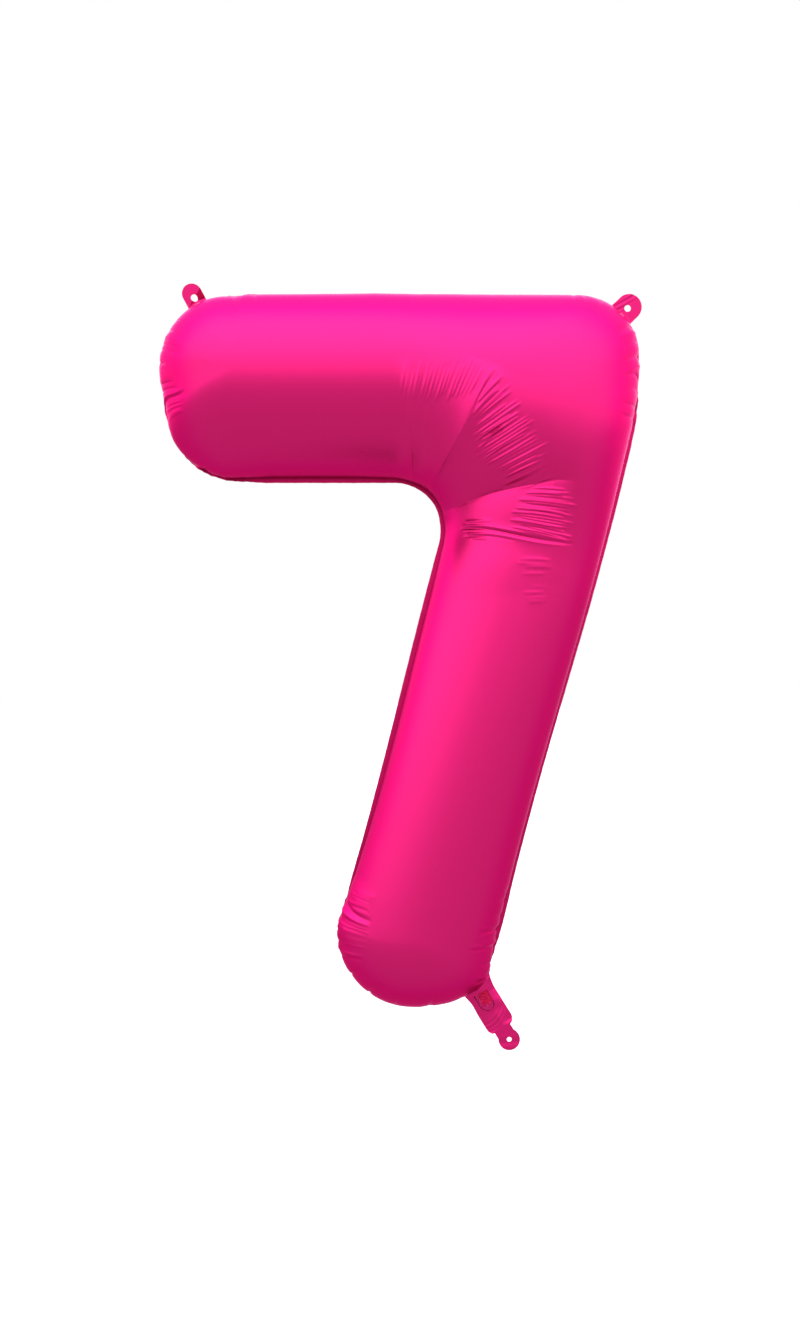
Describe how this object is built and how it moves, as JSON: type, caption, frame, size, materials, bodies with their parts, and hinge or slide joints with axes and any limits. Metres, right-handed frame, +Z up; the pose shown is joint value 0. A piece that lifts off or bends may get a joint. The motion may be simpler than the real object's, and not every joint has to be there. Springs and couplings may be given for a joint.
{
  "type": "foil number balloon",
  "caption": "Inflated foil balloon in the shape of the digit seven, with hang tabs at the top and a filling tail with a self-sealing valve at the foot.",
  "frame": {"origin": "centre of the ribbon hole at the end of the tail, in the seam plane", "axes": "+Z up along the digit's height, -Y out of the front face, +X to the reader's right; the seam plane is y = 0"},
  "size_m": [0.5825, 0.2452, 0.9251],
  "materials": {
    "foil": "satin metallised film, hot pink",
    "foil_flat": "satin metallised film, flat",
    "seam": "heat-sealed metallised film",
    "clear_film": "clear film",
    "release_ink": "heat-resistant printed strip"
  },
  "bodies": {
    "balloon": {"front_foil": "foil", "back_foil": "foil", "seam_rim": "seam", "throat_front_ply": "foil_flat", "throat_back_ply": "foil_flat", "throat_side_seals": "seam", "valve_film_front": "clear_film", "valve_film_back": "clear_film", "valve_release_strip": "release_ink"},
    "left_tab": {"hang_tab_left": "foil_flat"},
    "right_tab": {"hang_tab_right": "foil_flat"},
    "tail": {"tail_front_ply": "foil_flat", "tail_back_ply": "foil_flat"},
    "ribbon_end": {"ribbon_tab": "foil_flat"}
  },
  "joints": [
    {"name": "left_tab_bend", "type": "hinge", "parent": "balloon", "child": "left_tab", "pos_m": [-0.37792, 0, 0.8907], "axis": [-0.8829, 0, -0.4695], "range_deg": [-90, 90], "stiffness_Nm_per_rad": 0.0005},
    {"name": "right_tab_bend", "type": "hinge", "parent": "balloon", "child": "right_tab", "pos_m": [0.13664, 0, 0.87668], "axis": [-0.6947, 0, 0.7193], "range_deg": [-90, 90], "stiffness_Nm_per_rad": 0.0005},
    {"name": "tail_bend", "type": "hinge", "parent": "balloon", "child": "tail", "pos_m": [-0.01908, 0, 0.03053], "axis": [0.848, 0, 0.5299], "range_deg": [-90, 90], "stiffness_Nm_per_rad": 0.0005},
    {"name": "ribbon_tab_bend", "type": "hinge", "parent": "tail", "child": "ribbon_end", "pos_m": [-0.00768, 0, 0.0123], "axis": [0.848, 0, 0.5299], "range_deg": [-90, 90], "stiffness_Nm_per_rad": 0.0005}
  ]
}
